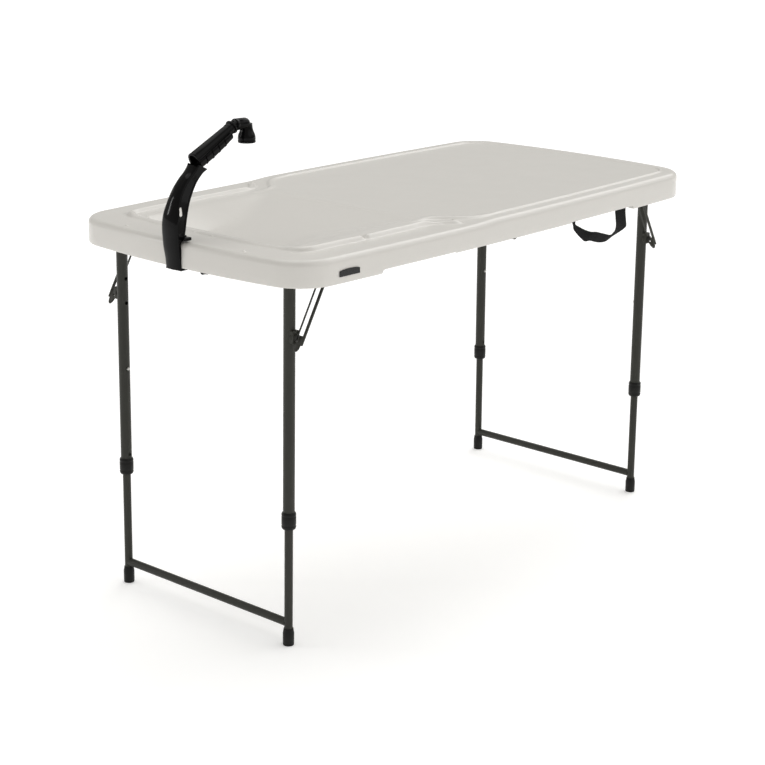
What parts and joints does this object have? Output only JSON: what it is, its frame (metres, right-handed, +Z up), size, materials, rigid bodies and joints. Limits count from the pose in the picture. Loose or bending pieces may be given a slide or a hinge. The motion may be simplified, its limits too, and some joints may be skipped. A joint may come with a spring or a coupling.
{
  "type": "fish cleaning table",
  "caption": "Portable fold-in-half fish cleaning table with a recessed sink and drain, clip-on faucet, telescoping folding legs and a webbing carry strap.",
  "frame": {"origin": "middle of the box that holds the opened table, on the floor", "axes": "+X along the tabletop from the sink end to the work end, +Y from the carry strap side to the back, +Z up"},
  "size_m": [1.297, 0.643, 0.9668],
  "materials": {
    "tabletop_plastic": "fine moulded texture, warm light grey",
    "leg_paint": "satin olive-grey powder coat",
    "hinge_steel": "satin black coat",
    "bright_steel": "zinc plated",
    "black_plastic": "satin black moulding",
    "faucet_plastic": "glossy black moulding",
    "badge_plastic": "blank dark plate",
    "washer_rubber": "black rubber",
    "webbing": "woven black webbing"
  },
  "bodies": {
    "sink_half": {"sink_half_top": "tabletop_plastic", "fold_hinge_leaf_sink_front": "hinge_steel", "fold_hinge_pin_front": "bright_steel", "rod_bracket_sink_front": "black_plastic", "brace_rail_sink_front": "hinge_steel", "fold_hinge_leaf_sink_back": "hinge_steel", "fold_hinge_pin_back": "bright_steel", "rod_bracket_sink_back": "black_plastic", "brace_rail_sink_back": "hinge_steel", "drain_strainer": "black_plastic", "drain_nut": "black_plastic", "drain_elbow": "black_plastic", "faucet_arm": "faucet_plastic", "spray_tube": "faucet_plastic", "inlet_washer": "washer_rubber", "badge_plate": "badge_plastic"},
    "work_half": {"work_half_top": "tabletop_plastic", "fold_hinge_leaf_work_front": "hinge_steel", "rod_bracket_work_front": "black_plastic", "brace_rail_work_front": "hinge_steel", "fold_hinge_leaf_work_back": "hinge_steel", "rod_bracket_work_back": "black_plastic", "brace_rail_work_back": "hinge_steel", "carry_strap_end_left": "webbing", "strap_anchor_left": "hinge_steel", "carry_strap_end_right": "webbing", "strap_anchor_right": "hinge_steel"},
    "sink_upper_frame": {"upper_leg_tube_sink_front": "leg_paint", "leg_collar_sink_front": "black_plastic", "upper_leg_tube_sink_back": "leg_paint", "leg_collar_sink_back": "black_plastic", "leg_hinge_rod_sink": "leg_paint"},
    "sink_lower_frame": {"lower_leg_tube_sink_front": "leg_paint", "foot_cap_sink_front": "black_plastic", "lower_leg_tube_sink_back": "leg_paint", "foot_cap_sink_back": "black_plastic", "crossbar_sink": "leg_paint"},
    "sink_braces": {"leg_brace_sink_front": "leg_paint", "leg_brace_sink_back": "leg_paint"},
    "snap_button_sink_front": {"snap_button_sink_front": "bright_steel"},
    "snap_button_sink_back": {"snap_button_sink_back": "bright_steel"},
    "work_upper_frame": {"upper_leg_tube_work_front": "leg_paint", "leg_collar_work_front": "black_plastic", "upper_leg_tube_work_back": "leg_paint", "leg_collar_work_back": "black_plastic", "leg_hinge_rod_work": "leg_paint"},
    "work_lower_frame": {"lower_leg_tube_work_front": "leg_paint", "foot_cap_work_front": "black_plastic", "lower_leg_tube_work_back": "leg_paint", "foot_cap_work_back": "black_plastic", "crossbar_work": "leg_paint"},
    "work_braces": {"leg_brace_work_front": "leg_paint", "leg_brace_work_back": "leg_paint"},
    "snap_button_work_front": {"snap_button_work_front": "bright_steel"},
    "snap_button_work_back": {"snap_button_work_back": "bright_steel"},
    "spray_head": {"spray_head": "faucet_plastic", "spray_rose": "black_plastic"},
    "carry_strap": {"carry_strap": "webbing"}
  },
  "joints": [
    {"name": "tabletop_fold", "type": "hinge", "parent": "sink_half", "child": "work_half", "pos_m": [0.007, 0, 0.712], "axis": [0, 1, 0], "range_deg": [0, 70]},
    {"name": "sink_leg_fold", "type": "hinge", "parent": "sink_half", "child": "sink_upper_frame", "pos_m": [-0.5642, 0, 0.721], "axis": [0, -1, 0], "range_deg": [0, 90]},
    {"name": "sink_leg_extension", "type": "slide", "parent": "sink_upper_frame", "child": "sink_lower_frame", "axis": [0.0097, 0, 1], "range_m": [-0.177, 0.182]},
    {"name": "sink_brace_swing", "type": "hinge", "parent": "sink_upper_frame", "child": "sink_braces", "pos_m": [-0.5653, 0, 0.60801], "axis": [0, 1, 0], "range_deg": [0, 151]},
    {"name": "sink_front_button_press", "type": "slide", "parent": "sink_upper_frame", "child": "snap_button_sink_front", "axis": [0, -1, 0], "range_m": [0, 0.0013], "stiffness_N_per_m": 1200, "springref_m": -0.0008},
    {"name": "sink_back_button_press", "type": "slide", "parent": "sink_upper_frame", "child": "snap_button_sink_back", "axis": [0, 1, 0], "range_m": [0, 0.0013], "stiffness_N_per_m": 1200, "springref_m": -0.0008},
    {"name": "work_leg_fold", "type": "hinge", "parent": "work_half", "child": "work_upper_frame", "pos_m": [0.5738, 0, 0.721], "axis": [0, 1, 0], "range_deg": [0, 90]},
    {"name": "work_leg_extension", "type": "slide", "parent": "work_upper_frame", "child": "work_lower_frame", "axis": [-0.0097, 0, 1], "range_m": [-0.177, 0.182]},
    {"name": "work_brace_swing", "type": "hinge", "parent": "work_upper_frame", "child": "work_braces", "pos_m": [0.5749, 0, 0.60801], "axis": [0, -1, 0], "range_deg": [0, 151]},
    {"name": "work_front_button_press", "type": "slide", "parent": "work_upper_frame", "child": "snap_button_work_front", "axis": [0, -1, 0], "range_m": [0, 0.0013], "stiffness_N_per_m": 1200, "springref_m": -0.0008},
    {"name": "work_back_button_press", "type": "slide", "parent": "work_upper_frame", "child": "snap_button_work_back", "axis": [0, 1, 0], "range_m": [0, 0.0013], "stiffness_N_per_m": 1200, "springref_m": -0.0008},
    {"name": "spray_head_swivel", "type": "hinge", "parent": "sink_half", "child": "spray_head", "pos_m": [-0.48117, 0, 0.95277], "axis": [0.8914, 0, 0.4533], "range_deg": [-90, 90]},
    {"name": "carry_strap_swing", "type": "hinge", "parent": "work_half", "child": "carry_strap", "pos_m": [0.3005, -0.2976, 0.7142], "axis": [-1, 0, 0], "range_deg": [-45, 80]}
  ],
  "couplings": [
    {"joint": "sink_brace_swing", "follows": "sink_leg_fold", "ratio": 1.6736},
    {"joint": "work_brace_swing", "follows": "work_leg_fold", "ratio": 1.6736}
  ]
}
